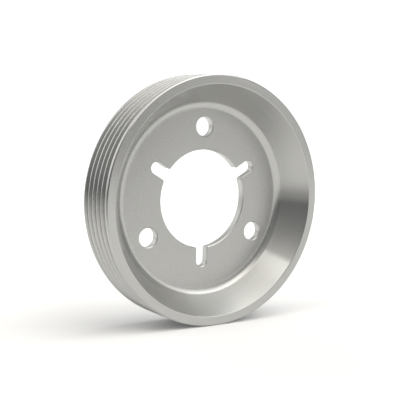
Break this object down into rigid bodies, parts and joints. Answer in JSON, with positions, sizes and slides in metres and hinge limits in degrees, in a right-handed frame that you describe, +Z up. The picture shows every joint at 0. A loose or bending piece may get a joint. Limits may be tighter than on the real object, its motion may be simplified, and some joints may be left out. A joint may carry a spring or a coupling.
{
  "type": "multi-rib drive pulley",
  "caption": "One-piece turned aluminium multi-rib drive pulley with a conical dished face, a large central bore with radial slots, and bolt holes on a circle.",
  "frame": {"origin": "on the pulley's axis, at the middle of its width", "axes": "+Y along the axis of rotation, out of the back of the pulley towards the hub that it bolts to; the dished front faces -Y; +Z points up through one bolt hole"},
  "size_m": [0.104, 0.02, 0.104],
  "materials": {
    "aluminium": "satin, turned on the rim, dish and lip, finely matt on the web"
  },
  "bodies": {
    "root": {"pulley": "aluminium"}
  },
  "joints": []
}
